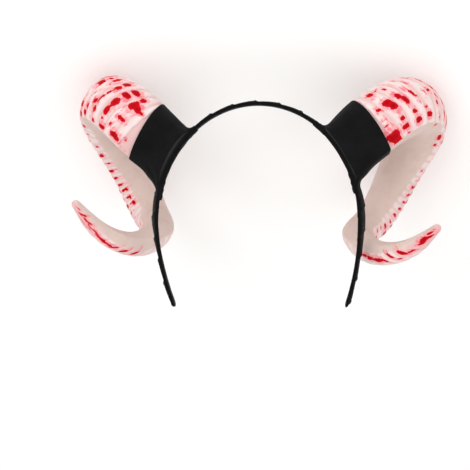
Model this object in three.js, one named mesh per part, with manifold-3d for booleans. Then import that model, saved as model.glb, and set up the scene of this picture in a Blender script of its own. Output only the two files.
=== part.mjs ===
// A costume headband with a pair of ram horns: a stiff hoop wound in black ribbon, two ridged foam horns
// that curl back, down and forward again, and a black cloth sleeve round the root of each horn.
// Millimetres, +Z up. The headband is drawn as it is worn, with the face towards -Y, and is then turned over to
// lie as it does when it is put down: on the backs of its horns, with its face up and the ends of its hoop in
// the air.

import * as THREE from "three";
import { mergeVertices } from "three/addons/utils/BufferGeometryUtils.js";
import Module from "manifold-3d";

// Hoop: its inner edge is half an ellipse over the crown, and two legs that close in a little below the temples.
const hoopHalfWidth = 75;
const hoopCrownRise = 86;
const hoopLegDrop = 64;
const hoopLegEllipse = 126;
const hoopBandWidth = 9;
const hoopBandThickness = 3.2;
const hoopTipLength = 5;

// Ribbon wound round the hoop: each turn laps over the one before it.
const ribbonPitch = 17.5;
const ribbonLap = 0.6;

// How far the band's outer face rolls to face forwards, in degrees, at what height above the temples, and how
// far up and down from there.
const templeRoll = 17;
const templeRollHeight = 14;
const templeRollSpan = 22;

// Horn: how far its middle line reaches out from its seat on the hoop, back, and up and down.
const hornReach = 73;
const hornDepth = 76;
const hornHeight = 103;
const hornThickness = 45;

// The horn's middle line and sections, as the control points of a smooth curve. out, back and up are shares of
// the reach, depth and height above, wide and deep are shares of the thickness, turn rolls the section about the
// middle line in degrees, and bend is the share of a horn's tip bend that acts here.
const hornSections = [
  { out: 0, back: 0, up: 0, wide: 0.953, deep: 0.959, turn: -1, bend: 0 },
  { out: 0.296, back: -0.019, up: 0.211, wide: 1.082, deep: 1.05, turn: 2, bend: 0 },
  { out: 0.67, back: 0.21, up: 0.387, wide: 1.093, deep: 1.024, turn: 2, bend: 0 },
  { out: 0.803, back: 0.649, up: 0.281, wide: 1.006, deep: 0.832, turn: 15, bend: 0 },
  { out: 0.639, back: 0.857, up: 0.019, wide: 0.789, deep: 0.747, turn: 17, bend: 0 },
  { out: 0.474, back: 1.046, up: -0.234, wide: 0.699, deep: 0.673, turn: 21, bend: 0 },
  { out: 0.261, back: 0.949, up: -0.547, wide: 0.638, deep: 0.622, turn: 17, bend: 0 },
  { out: 0.061, back: 0.532, up: -0.594, wide: 0.528, deep: 0.528, turn: 4, bend: 0 },
  { out: 0.313, back: 0.163, up: -0.726, wide: 0.411, deep: 0.412, turn: -6, bend: 0.3 },
  { out: 0.7, back: -0.023, up: -0.649, wide: 0.335, deep: 0.316, turn: 0, bend: 0.65 },
  { out: 0.956, back: -0.224, up: -0.437, wide: 0.167, deep: 0.174, turn: 0, bend: 1 },
];

// The middle of the curl seen from the side, as shares of the depth and height above.
const curlMiddle = { back: 0.3, up: -0.2 };

// Each horn is glued on by hand, so the two differ a little. seat is how far round the hoop it sits from the
// crown, and droop, nod and swing turn it about the fore and aft, sideways and upright lines through its seat,
// all in degrees. tipOut and tipUp are how far its tip has been bent, as shares of the reach and height above.
const hornSets = {
  left: { seat: 58.3, droop: -5.9, nod: 7.5, swing: -3.7, tipOut: 0, tipUp: 0.081 },
  right: { seat: 54.9, droop: 0.8, nod: 1.3, swing: -3.5, tipOut: 0.066, tipUp: -0.081 },
};

// The horn's flat inner side takes this share of its depth, and the round ridged side the rest.
const hornInnerShare = 0.3;

// How far the start of the middle line lies inside the band's outer face.
const hornRootInset = 2;

// Ridges across the round side, closer together and lower towards the tip.
const ridgeHeight = 1.3;
const ridgePitchRoot = 11;
const ridgePitchTip = 6;
const ridgeStart = 35.5;
const ridgeEndGap = 34;

// Cloth sleeve round the root of each horn, and where it passes under the band.
const sleeveLength = 28.5;
const clothThickness = 1.4;
const clothUnderThickness = 0.8;

// Clearance between touching pieces.
const gap = 0.3;

// How far over the headband leans backwards from upside down when it lies on its horns, and how far it rolls to
// one side because they differ, in degrees.
const restLean = 53.15;
const restRoll = 1.13;

// Facets.
const hornFacetsOuter = 13;
const hornFacetsInner = 7;
const hoopFacets = 12;
const hoopStepLength = 4.4;
const rootStations = [0, 0.14, 0.28, 0.46, 0.63, 0.81, 1].map((share) => share * sleeveLength);
const crownFacets = 48;

const wasm = await Module();
wasm.setup();

const degrees = THREE.MathUtils.degToRad;

// Turns a closed geometry into a solid that manifold-3d can cut and join.
function toSolid(geometry) {
  const bare = new THREE.BufferGeometry();
  bare.setAttribute("position", geometry.getAttribute("position"));
  bare.setIndex(geometry.getIndex());
  const merged = mergeVertices(bare, 1e-4);
  return new wasm.Manifold(
    new wasm.Mesh({
      numProp: 3,
      vertProperties: new Float32Array(merged.attributes.position.array),
      triVerts: new Uint32Array(merged.index.array),
    }),
  );
}

// Turns a solid back into a geometry.
function toGeometry(solid) {
  const mesh = solid.getMesh();
  const geometry = new THREE.BufferGeometry();
  geometry.setAttribute(
    "position",
    new THREE.BufferAttribute(new Float32Array(mesh.vertProperties), 3),
  );
  geometry.setIndex(new THREE.BufferAttribute(new Uint32Array(mesh.triVerts), 1));
  geometry.computeVertexNormals();
  return geometry;
}

// Skins a row of rings, each an array of as many points, into one closed body with flat ends.
function skin(rings) {
  const count = rings[0].length;
  const positions = [];
  for (const p of rings.flat()) {
    positions.push(p.x, p.y, p.z);
  }
  const index = [];
  for (let i = 0; i + 1 < rings.length; i++) {
    for (let j = 0; j < count; j++) {
      const a = i * count + j;
      const b = i * count + ((j + 1) % count);
      index.push(a, b, a + count, b, b + count, a + count);
    }
  }
  for (const [start, flip] of [[0, true], [(rings.length - 1) * count, false]]) {
    const centre = new THREE.Vector3();
    for (const p of rings[start / count]) {
      centre.add(p);
    }
    centre.divideScalar(count);
    const middle = positions.length / 3;
    positions.push(centre.x, centre.y, centre.z);
    for (let j = 0; j < count; j++) {
      const a = start + j;
      const b = start + ((j + 1) % count);
      index.push(...(flip ? [middle, b, a] : [middle, a, b]));
    }
  }
  const geometry = new THREE.BufferGeometry();
  geometry.setAttribute("position", new THREE.Float32BufferAttribute(positions, 3));
  geometry.setIndex(index);
  return geometry;
}

// A point of the hoop's middle line, with its outward normal. angle is 0 at the crown and 90 at the temple,
// and past 90 it runs down the leg. Right side; the left is its mirror image.
function hoopPoint(angle) {
  const half = hoopHalfWidth + hoopBandThickness / 2;
  const rise = (angle <= 90 ? hoopCrownRise : hoopLegEllipse) + hoopBandThickness / 2;
  const a = degrees(angle);
  return {
    point: new THREE.Vector3(half * Math.sin(a), 0, rise * Math.cos(a)),
    normal: new THREE.Vector3(Math.sin(a) / half, 0, Math.cos(a) / rise).normalize(),
  };
}

// The hoop's middle line from the right tip over the crown to the left tip, in even steps.
function hoopStations() {
  const tipAngle = 90 + THREE.MathUtils.radToDeg(Math.asin(hoopLegDrop / hoopLegEllipse));
  const fine = [];
  const fineSteps = 400;
  for (let i = 0; i <= fineSteps; i++) {
    const angle = tipAngle - (2 * tipAngle * i) / fineSteps;
    const { point, normal } = hoopPoint(Math.abs(angle));
    const side = angle < 0 ? -1 : 1;
    point.x *= side;
    normal.x *= side;
    const last = fine[fine.length - 1];
    const along = last ? last.along + point.distanceTo(last.point) : 0;
    fine.push({ point, normal, along });
  }
  const length = fine[fineSteps].along;
  const steps = Math.round(length / hoopStepLength);
  const stations = [];
  let k = 0;
  for (let i = 0; i <= steps; i++) {
    const along = (length * i) / steps;
    while (k < fineSteps - 1 && fine[k + 1].along < along) {
      k++;
    }
    const share = (along - fine[k].along) / (fine[k + 1].along - fine[k].along);
    stations.push({
      along,
      length,
      point: fine[k].point.clone().lerp(fine[k + 1].point, share),
      normal: fine[k].normal.clone().lerp(fine[k + 1].normal, share).normalize(),
    });
  }
  return stations;
}

// One ring of the band: a flat oval, rolled forwards at the temples, grown by a clearance where asked.
// The ribbon's lap makes it step up once in each turn.
function hoopRing(station, grow, lapped) {
  const { point, normal, along, length } = station;
  const fromTemple = (point.z - templeRollHeight) / templeRollSpan;
  const roll = degrees(templeRoll) * Math.exp(-(fromTemple ** 2));
  const across = new THREE.Vector3(0, -1, 0);
  const outward = normal.clone().multiplyScalar(Math.cos(roll)).addScaledVector(across, Math.sin(roll));
  const forward = across.clone().multiplyScalar(Math.cos(roll)).addScaledVector(normal, -Math.sin(roll));
  const toTip = Math.max(hoopTipLength - Math.min(along, length - along), 0);
  const taper = Math.sqrt(1 - (toTip / (1.1 * hoopTipLength)) ** 2);
  const ring = [];
  for (let j = 0; j < hoopFacets; j++) {
    const a = (2 * Math.PI * j) / hoopFacets;
    const turn = along / ribbonPitch - j / hoopFacets;
    const lap = lapped ? ribbonLap * (1 - (turn - Math.floor(turn))) : ribbonLap;
    const c = Math.cos(a);
    const s = Math.sin(a);
    const wide = Math.sign(c) * Math.abs(c) ** 0.7 * (hoopBandWidth / 2 + lap * Math.abs(c));
    const thick = Math.sign(s) * Math.abs(s) ** 0.7 * (hoopBandThickness / 2 + lap * Math.max(s, 0));
    ring.push(
      point
        .clone()
        .addScaledVector(forward, wide * taper + grow * c)
        .addScaledVector(outward, thick * taper + grow * s),
    );
  }
  return ring;
}

// The band wound in ribbon, or a plain grown copy of it to cut clearances with.
function hoopGeometry(grow = 0, lapped = true) {
  return skin(hoopStations().map((station) => hoopRing(station, grow, lapped)));
}

// A solid that fills the upper half of the hoop, as far out as its middle line grown by an offset. What sits on
// the band is trimmed to it, so it follows the hoop's curve.
function crownFilling(offset) {
  const ring = [];
  for (let j = 0; j <= crownFacets; j++) {
    const a = (Math.PI * j) / crownFacets;
    const half = hoopHalfWidth + hoopBandThickness / 2 + offset;
    const rise = hoopCrownRise + hoopBandThickness / 2 + offset;
    ring.push(new THREE.Vector3(half * Math.cos(a), 0, rise * Math.sin(a)));
  }
  const reach = new THREE.Vector3(0, 0.65 * hornThickness, 0);
  const back = ring.map((p) => p.clone().add(reach));
  const front = ring.map((p) => p.clone().sub(reach));
  return toSolid(skin([back, front]));
}

// The point at parameter t, from 0 to 1, of the smooth curve that a row of control points draws.
function smoothPoint(points, t) {
  const last = points.length - 1;
  const before = points[0].clone().multiplyScalar(2).sub(points[1]);
  const after = points[last].clone().multiplyScalar(2).sub(points[last - 1]);
  const row = [before, ...points, after];
  const i = Math.min(Math.floor(t * last), last - 1);
  const w = t * last - i;
  const shares = [
    (1 - w) ** 3 / 6,
    (3 * w ** 3 - 6 * w ** 2 + 4) / 6,
    (-3 * w ** 3 + 3 * w ** 2 + 3 * w + 1) / 6,
    w ** 3 / 6,
  ];
  return shares.reduce((sum, share, k) => sum.addScaledVector(row[i + k], share), new THREE.Vector3());
}

// The middle line of one horn, as a curve that measures its own length.
class HornCurve extends THREE.Curve {
  constructor(set) {
    super();
    this.arcLengthDivisions = 400;
    this.controls = hornSections.map(
      (row) =>
        new THREE.Vector3(
          (row.out + row.bend * set.tipOut) * hornReach,
          row.back * hornDepth,
          (row.up + row.bend * set.tipUp) * hornHeight,
        ),
    );
    this.sizes = hornSections.map((row) => new THREE.Vector3(row.wide, row.deep, row.turn));
  }

  getPoint(t) {
    return smoothPoint(this.controls, t);
  }

  // Half the width, the depth and the turn of the section at parameter t.
  getSection(t) {
    const { x, y, z } = smoothPoint(this.sizes, t);
    return { half: (x * hornThickness) / 2, deep: y * hornThickness, turn: degrees(z) };
  }
}

// One ring of a horn at a distance along it, grown by a clearance or a cloth thickness where asked. The flat
// inner side faces the middle of the curl. raise is 0 in a groove and up to 1 on the crest of a ridge.
function hornRing(curve, along, { raise = 0, grow = 0, shrink = 1 } = {}) {
  const t = curve.getUtoTmapping(THREE.MathUtils.clamp(along / curve.getLength(), 0, 1));
  const point = curve.getPoint(t);
  const tangent = curve.getTangent(t);
  const { half, deep, turn } = curve.getSection(t);
  const curlCentre = new THREE.Vector3(point.x, curlMiddle.back * hornDepth, curlMiddle.up * hornHeight);
  const inner = curlCentre.sub(point);
  inner.addScaledVector(tangent, -inner.dot(tangent)).normalize().applyAxisAngle(tangent, turn);
  const side = new THREE.Vector3().crossVectors(tangent, inner);
  const outerDepth = deep * (1 - hornInnerShare);
  const innerDepth = deep * hornInnerShare;
  const middle = point.clone().addScaledVector(inner, (outerDepth - innerDepth) / 2);
  const beyond = Math.min(along, 0);
  middle.addScaledVector(tangent, beyond);
  const ring = [];
  for (let j = 0; j < hornFacetsOuter; j++) {
    const a = (Math.PI * j) / (hornFacetsOuter - 1);
    const fade = a > Math.PI / 2 ? 1 : Math.sin(a);
    const ridge = ridgeHeight * raise * Math.min(1, 2.2 * Math.sin(a)) * fade;
    const x = (half + grow + ridge) * Math.cos(a) * shrink;
    const y = (outerDepth + grow + ridge) * Math.sin(a) * shrink;
    ring.push(middle.clone().addScaledVector(side, x).addScaledVector(inner, -y));
  }
  for (let j = 1; j <= hornFacetsInner; j++) {
    const share = -1 + (2 * j) / (hornFacetsInner + 1);
    const x = (half + grow) * share * shrink;
    const y = (innerDepth * (1 - Math.abs(share) ** 2.4) + grow) * shrink;
    ring.push(middle.clone().addScaledVector(side, x).addScaledVector(inner, y));
  }
  return ring;
}

// The stations of the ridges: a groove and a crest in turn.
function ridgeStations(length) {
  const end = length - ridgeEndGap;
  const stations = [];
  let along = ridgeStart;
  while (along < end) {
    const share = (along - ridgeStart) / (end - ridgeStart);
    const pitch = THREE.MathUtils.lerp(ridgePitchRoot, ridgePitchTip, share);
    stations.push({ along }, { along: along + pitch * 0.5, raise: 1 - 0.5 * share });
    along += pitch;
  }
  return stations;
}

// A horn from its root to its blunt tip, before its root is trimmed.
function hornGeometry(curve) {
  const length = curve.getLength();
  const stations = [
    { along: -hoopBandThickness },
    ...rootStations.map((along) => ({ along })),
    ...ridgeStations(length),
    { along: length - ridgeEndGap * 0.7 },
    { along: length - ridgeEndGap * 0.4 },
    { along: length - ridgeEndGap * 0.12 },
    { along: length - ridgeEndGap * 0.03, shrink: 0.85 },
    { along: length, shrink: 0.5 },
  ];
  return skin(stations.map(({ along, ...shape }) => hornRing(curve, along, shape)));
}

// The root of a horn grown all round, from inside the hoop up to a distance along it.
function rootGeometry(curve, grow, end) {
  const stations = [-3 * hoopBandThickness, ...rootStations.filter((along) => along < end), end];
  return skin(stations.map((along) => hornRing(curve, along, { grow })));
}

// Turns and moves a horn's geometry to its seat on the outer face of the band. Right side.
function seatHorn(geometry, set) {
  const { point, normal } = hoopPoint(set.seat);
  point.addScaledVector(normal, hoopBandThickness / 2 - hornRootInset);
  return geometry
    .rotateZ(degrees(set.swing))
    .rotateX(degrees(set.nod))
    .rotateY(degrees(set.droop))
    .translate(point.x, point.y, point.z);
}

const hornMaterial = new THREE.MeshStandardMaterial({ color: 0xebe0d8, roughness: 0.55 });
const ribbonMaterial = new THREE.MeshStandardMaterial({ color: 0x151515, roughness: 0.5 });
const clothMaterial = new THREE.MeshStandardMaterial({ color: 0x1a1a1c, roughness: 0.8 });

const bandCut = toSolid(hoopGeometry(gap, false));
const aboveBand = crownFilling(hoopBandThickness / 2 + ribbonLap);
const aboveBandCleared = crownFilling(hoopBandThickness / 2 + ribbonLap + gap);
const underBand = crownFilling(-hoopBandThickness / 2 - gap - clothUnderThickness);

// The horn of one side: its root is trimmed to the outside of the band.
function makeHorn(set) {
  return toSolid(seatHorn(hornGeometry(new HornCurve(set)), set)).subtract(aboveBandCleared);
}

// The sleeve of one side: a cup of cloth round the horn's root, with the band passing through its foot.
function makeSleeve(set) {
  const curve = new HornCurve(set);
  const cloth = toSolid(seatHorn(rootGeometry(curve, gap + clothThickness, sleeveLength), set));
  const root = toSolid(seatHorn(rootGeometry(curve, gap, sleeveLength + 1), set));
  return cloth.subtract(underBand).subtract(root.subtract(aboveBand)).subtract(bandCut);
}

function addMesh(group, name, geometry, material) {
  const mesh = new THREE.Mesh(geometry, material);
  mesh.name = name;
  group.add(mesh);
}

const worn = new THREE.Group();
addMesh(worn, "headband", hoopGeometry(), ribbonMaterial);
for (const [side, set] of Object.entries(hornSets)) {
  const mirror = side === "left" ? [-1, 1, 1] : [1, 1, 1];
  addMesh(worn, `horn_${side}`, toGeometry(makeHorn(set).scale(mirror)), hornMaterial);
  addMesh(worn, `sleeve_${side}`, toGeometry(makeSleeve(set).scale(mirror)), clothMaterial);
}

// Laid down at rest, with the middle of the underside at the origin.
worn.rotation.set(degrees(-restLean), degrees(180 - restRoll), 0);
const headband = new THREE.Group();
headband.add(worn);
headband.updateMatrixWorld(true);
const box = new THREE.Box3().setFromObject(worn, true);
const middle = box.getCenter(new THREE.Vector3());
worn.position.set(-middle.x, -middle.y, -box.min.z);

export default headband;
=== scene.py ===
"""Looks of the ram horns headband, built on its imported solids.

The headband lies on the backs of its horns. It is drawn here as it is worn, in millimetres, with the face
towards -Y, and each piece is then turned to its place at rest, in metres.
"""

from __future__ import annotations

import logging
import math
from dataclasses import dataclass, field
from enum import Enum

import bmesh
import bpy
import numpy as np
from mathutils import Matrix, Vector


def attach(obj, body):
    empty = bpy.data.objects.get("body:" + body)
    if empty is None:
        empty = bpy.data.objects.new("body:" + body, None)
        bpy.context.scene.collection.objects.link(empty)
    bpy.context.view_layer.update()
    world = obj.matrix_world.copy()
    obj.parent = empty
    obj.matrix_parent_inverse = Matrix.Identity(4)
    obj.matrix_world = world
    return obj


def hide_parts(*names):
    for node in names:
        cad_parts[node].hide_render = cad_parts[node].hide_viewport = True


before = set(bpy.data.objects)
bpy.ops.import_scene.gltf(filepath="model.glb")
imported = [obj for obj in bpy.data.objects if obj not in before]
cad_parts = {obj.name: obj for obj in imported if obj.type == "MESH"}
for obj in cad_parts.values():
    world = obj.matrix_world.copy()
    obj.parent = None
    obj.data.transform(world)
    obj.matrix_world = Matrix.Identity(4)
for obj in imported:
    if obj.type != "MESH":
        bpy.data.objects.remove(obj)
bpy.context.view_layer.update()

LOG = logging.getLogger("headband")

Array = np.ndarray
Colour = tuple[float, float, float, float]
Zone = tuple[float, float, float, float]


def tone(red: int, green: int, blue: int) -> Colour:
    """Returns a colour given in display values from 0 to 255 as linear light."""
    return tuple(
        c / 12.92 if c <= 0.04045 else ((c + 0.055) / 1.055) ** 2.4
        for c in (red / 255, green / 255, blue / 255)
    ) + (1.0,)


def smooth(value: Array, low: float, high: float) -> Array:
    """Returns a soft step from 0 at low to 1 at high."""
    share = np.clip((value - low) / (high - low), 0.0, 1.0)
    return share * share * (3.0 - 2.0 * share)


def window(value: Array, zone: Zone) -> Array:
    """Returns 1 inside a zone, given by where it begins, is full, starts to fade and ends."""
    return smooth(value, zone[0], zone[1]) * (1 - smooth(value, zone[2], zone[3]))


def unit(rows: Array) -> Array:
    """Returns the rows of an array, each with length 1."""
    return rows / np.linalg.norm(rows, axis=-1, keepdims=True)


class Number:
    """A number that a shader works out. Python's operators on it add Math nodes."""

    def __init__(self, graph: "Graph", socket: bpy.types.NodeSocket) -> None:
        """Wraps an output socket of a graph."""
        self.graph = graph
        self.socket = socket

    def _math(self, operation: str, *values: "Number | float") -> "Number":
        """Adds one Math node on these values and returns its result."""
        inputs = dict(enumerate(values))
        return self.graph.number("ShaderNodeMath", {"operation": operation}, inputs)

    def __add__(self, other: "Number | float") -> "Number":
        """Returns the sum."""
        return self._math("ADD", self, other)

    def __radd__(self, other: float) -> "Number":
        """Returns the sum."""
        return self._math("ADD", other, self)

    def __sub__(self, other: "Number | float") -> "Number":
        """Returns the difference."""
        return self._math("SUBTRACT", self, other)

    def __rsub__(self, other: float) -> "Number":
        """Returns the difference from a plain number."""
        return self._math("SUBTRACT", other, self)

    def __mul__(self, other: "Number | float") -> "Number":
        """Returns the product."""
        return self._math("MULTIPLY", self, other)

    def __rmul__(self, other: float) -> "Number":
        """Returns the product."""
        return self._math("MULTIPLY", other, self)

    def at_least(self, other: "Number | float") -> "Number":
        """Returns the larger of the two."""
        return self._math("MAXIMUM", self, other)

    def sine(self) -> "Number":
        """Returns the sine."""
        return self._math("SINE", self)

    def step(self, low: float, high: float) -> "Number":
        """Returns a soft step from 0 at low to 1 at high."""
        return self.graph.number(
            "ShaderNodeMapRange",
            {"interpolation_type": "SMOOTHSTEP"},
            {"Value": self, "From Min": low, "From Max": high},
        )


class Graph:
    """The node graph of one material, round a single surface shader."""

    def __init__(self, name: str) -> None:
        """Starts a material with a surface shader and its output."""
        self.material = bpy.data.materials.new(name)
        self.material.use_nodes = True
        self.tree = self.material.node_tree
        self.tree.nodes.clear()
        self.shader = self.tree.nodes.new("ShaderNodeBsdfPrincipled")
        output = self.tree.nodes.new("ShaderNodeOutputMaterial")
        self.tree.links.new(self.shader.outputs["BSDF"], output.inputs["Surface"])

    def _plug(self, socket: bpy.types.NodeSocket, value: object) -> None:
        """Sets an input socket to a plain value, or links it."""
        if isinstance(value, Number):
            self.tree.links.new(value.socket, socket)
        elif isinstance(value, bpy.types.NodeSocket):
            self.tree.links.new(value, socket)
        else:
            socket.default_value = value

    def node(self, kind: str, settings: dict[str, object], inputs: dict[object, object]) -> bpy.types.Node:
        """Adds a node.

        Args:
            kind: Blender's name for the node type.
            settings: the node's own settings, which are set first.
            inputs: plain values or links, by socket name or index.

        Returns:
            The new node.
        """
        made = self.tree.nodes.new(kind)
        for name, value in settings.items():
            setattr(made, name, value)
        for name, value in inputs.items():
            self._plug(made.inputs[name], value)
        return made

    def number(
        self, kind: str, settings: dict[str, object], inputs: dict[object, object], output: object = 0
    ) -> Number:
        """Adds a node and returns one of its outputs as a number."""
        return Number(self, self.node(kind, settings, inputs).outputs[output])

    def attribute(self, name: str) -> Number:
        """Returns a value that is stored at the mesh's points."""
        return self.number("ShaderNodeAttribute", {"attribute_name": name}, {}, "Fac")

    def place(self) -> bpy.types.NodeSocket:
        """Returns the place on the object, in metres."""
        return self.node("ShaderNodeTexCoord", {}, {}).outputs["Object"]

    def vector(self, x: object, y: object, z: object) -> bpy.types.NodeSocket:
        """Joins three numbers into a vector."""
        return self.node("ShaderNodeCombineXYZ", {}, {"X": x, "Y": y, "Z": z}).outputs["Vector"]

    def noise(
        self, where: bpy.types.NodeSocket, scale: float, detail: float = 2.0, rough: float = 0.5
    ) -> Number:
        """Returns soft noise from 0 to 1.

        Args:
            where: the vector it is read at.
            scale: how many bumps there are in a unit of that vector.
            detail: how many finer octaves are added.
            rough: how strong the finer octaves are.

        Returns:
            The noise as a number.
        """
        inputs = {"Vector": where, "Scale": scale, "Detail": detail, "Roughness": rough}
        return self.number("ShaderNodeTexNoise", {}, inputs)

    def blend(self, share: object, first: object, second: object) -> bpy.types.NodeSocket:
        """Mixes two colours: the first where share is 0, the second where it is 1."""
        settings = {"data_type": "RGBA", "clamp_factor": True}
        return self.node("ShaderNodeMix", settings, {0: share, 6: first, 7: second}).outputs[2]

    def bump(self, height: Number, strength: float, distance: float) -> bpy.types.NodeSocket:
        """Turns a height from 0 to 1 into a bumped normal, distance being its depth in metres."""
        inputs = {"Height": height, "Strength": strength, "Distance": distance}
        return self.node("ShaderNodeBump", {}, inputs).outputs["Normal"]

    def finish(self, sockets: dict[str, object]) -> bpy.types.Material:
        """Sets or links the surface shader's sockets and returns the material."""
        for name, value in sockets.items():
            self._plug(self.shader.inputs[name], value)
        return self.material


@dataclass(frozen=True)
class PaintedFoam:
    """Moulded foam with a thin skin: cream with brushed red paint on its ridged side, and beige inside."""

    cream: Colour = tone(228, 216, 213)
    beige: Colour = tone(214, 192, 184)
    hollow: Colour = tone(203, 176, 166)
    # groove is painted shade: a darker pink laid into the grooves between the rings
    groove: Colour = tone(214, 166, 164)
    blush: Colour = tone(238, 150, 158)
    rose: Colour = tone(222, 58, 84)
    red: Colour = tone(192, 0, 18)
    deep_red: Colour = tone(160, 0, 12)
    roughness: float = 0.56
    specular: float = 0.06
    grain: float = 2600.0
    chips: float = 1300.0
    raggedness: float = 420.0
    clouds: float = 95.0

    def build(self) -> bpy.types.Material:
        """Makes the material from the values that a horn stores at its points.

        Returns:
            The material: hard-edged marks of red, dry pink tails round them and fine hairs along the rings.
        """
        g = Graph("painted_foam")
        place = g.place()
        paint = g.attribute("paint")
        plain = g.attribute("plain")
        ring = g.attribute("ring")
        brush = g.attribute("brush")
        along = g.attribute("along")
        around = g.attribute("around")
        strokes = g.vector(along * 1.15, around * 0.16, 0.0)
        flow = g.vector(along * 0.16, around * 1.3, 3.0)
        ragged = g.noise(place, self.raggedness, 3.0, 0.6)
        chipped = g.noise(place, self.chips, 2.0, 0.6)
        streaks = g.noise(strokes, 1.0, 3.0, 0.62)
        runs = g.noise(flow, 1.0, 3.0, 0.65)
        cloudy = g.noise(place, self.clouds, 2.0, 0.5)
        worn = (ragged - 0.5) * 0.26 + (chipped - 0.5) * 0.14
        load = paint + worn
        covered = (load + (streaks - 0.5) * 0.10).step(0.485, 0.512)
        thick = (load + (cloudy - 0.5) * 0.2).step(0.58, 0.80)
        near = (load + (streaks - 0.5) * 0.3).step(0.28, 0.50)
        tail = (g.attribute("blush") + (streaks - 0.5) * 0.55 + (ragged - 0.5) * 0.2).step(0.40, 0.60)
        hair = (streaks + (ragged - 0.5) * 0.25).step(0.61, 0.69) * brush
        drag = (runs + (ragged - 0.5) * 0.30).step(0.58, 0.70) * g.attribute("drag")
        dusty = (cloudy + (ragged - 0.5) * 0.4).step(0.42, 0.72)
        skin = g.blend(plain, self.cream, self.beige)
        skin = g.blend(plain * dusty * 0.4, skin, self.hollow)
        tint = (1.0 - plain) * (dusty * 0.16 + ring * 0.06)
        skin = g.blend(tint, skin, self.blush)
        # Painted shade: the grooves between the rings of the painted side are darkened towards a deeper pink
        skin = g.blend((1.0 - ring) * (1.0 - plain) * 0.7, skin, self.groove)
        skin = g.blend((near * 0.4).at_least(tail * 0.72).at_least(hair * 0.6), skin, self.blush)
        skin = g.blend((tail * streaks.step(0.50, 0.60) * 0.55).at_least(drag), skin, self.rose)
        paint_colour = g.blend(thick, self.red, self.deep_red)
        colour = g.blend(covered, skin, paint_colour)
        fine = g.noise(place, self.grain, 2.0, 0.6)
        height = fine * 0.25 + cloudy * 0.4 + covered * 0.5
        return g.finish(
            {
                "Base Color": colour,
                "Roughness": self.roughness - covered * 0.10 + fine * 0.05,
                "Normal": g.bump(height, 0.5, 0.00025),
                "Specular IOR Level": self.specular,
            }
        )


@dataclass(frozen=True)
class BlackRibbon:
    """Black satin ribbon with a fine rib across it, wound under tension."""

    dark: Colour = tone(5, 5, 6)
    light: Colour = tone(15, 14, 16)
    roughness: float = 0.42
    specular: float = 0.06
    sheen: float = 0.01
    ribs_per_turn: float = 460.0

    def build(self) -> bpy.types.Material:
        """Returns the material. It reads the turn of the winding stored at the hoop's points."""
        g = Graph("black_ribbon")
        place = g.place()
        turn = g.attribute("turn")
        along = g.attribute("along")
        rib = (turn * self.ribs_per_turn).sine() * 0.5 + 0.5
        pull = g.noise(g.vector(along * 0.35, turn * 26.0, 0.0), 1.0, 2.0, 0.55)
        lint = g.noise(place, 900, 2.0, 0.6)
        colour = g.blend((pull * 0.6 + lint * 0.5).step(0.35, 0.85), self.dark, self.light)
        height = rib * 0.18 + pull * 0.8 + lint * 0.15
        return g.finish(
            {
                "Base Color": colour,
                "Roughness": self.roughness + lint * 0.16,
                "Normal": g.bump(height, 0.7, 0.0004),
                "Specular IOR Level": self.specular,
                "Sheen Weight": self.sheen,
                "Sheen Roughness": 0.5,
            }
        )


@dataclass(frozen=True)
class StretchCloth:
    """Matt black stretch cloth, drawn smooth over the root of a horn."""

    dark: Colour = tone(9, 9, 10)
    light: Colour = tone(19, 19, 21)
    roughness: float = 0.86
    specular: float = 0.1
    sheen: float = 0.03
    thread_turn: float = 5200.0

    def build(self) -> bpy.types.Material:
        """Returns the material."""
        g = Graph("stretch_cloth")
        place = g.place()
        split = g.node("ShaderNodeSeparateXYZ", {}, {0: place}).outputs
        x, y, z = (Number(g, split[i]) for i in range(3))
        course = ((x * 0.7 + y + z * 0.4) * self.thread_turn).sine()
        wale = ((x - y * 0.5 + z * 0.7) * self.thread_turn).sine()
        knit = course * wale * 0.5 + 0.5
        cloudy = g.noise(place, 60, 3.0, 0.55)
        lint = g.noise(place, 1500, 2.0, 0.6)
        colour = g.blend((cloudy * 0.6 + lint * 0.4).step(0.35, 0.7), self.dark, self.light)
        height = knit * 0.35 + lint * 0.3 + cloudy * 0.5
        return g.finish(
            {
                "Base Color": colour,
                "Roughness": self.roughness + lint * 0.08 - 0.04,
                "Normal": g.bump(height, 0.45, 0.0004),
                "Specular IOR Level": self.specular,
                "Sheen Weight": self.sheen,
                "Sheen Roughness": 0.45,
            }
        )


@dataclass(frozen=True)
class StudioPaper:
    """The pale matt surface that the headband lies on."""

    pale: Colour = tone(250, 249, 248)
    shade: Colour = tone(247, 246, 245)
    roughness: float = 0.9

    def build(self) -> bpy.types.Material:
        """Returns the material."""
        g = Graph("studio_paper")
        colour = g.blend(g.noise(g.place(), 3.0), self.pale, self.shade)
        return g.finish({"Base Color": colour, "Roughness": self.roughness})


@dataclass(frozen=True)
class RestPose:
    """How the headband lies: turned from the way it is worn onto the backs of its horns."""

    lean: float = 53.15
    roll: float = 1.13
    shift: tuple[float, float, float] = (-1.0304, 15.5687, 102.0903)

    def turn(self) -> Matrix:
        """Returns the turn from the worn position to the rest position."""
        return Matrix.Rotation(math.radians(-self.lean), 3, "X") @ Matrix.Rotation(
            math.radians(180.0 - self.roll), 3, "Y"
        )

    def place(self, points: Array) -> Array:
        """Takes worn points in millimetres to their places at rest in metres."""
        turned = np.asarray(points, float) @ np.array(self.turn()).T
        return (turned + np.array(self.shift)) * 0.001


REST = RestPose()


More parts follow.
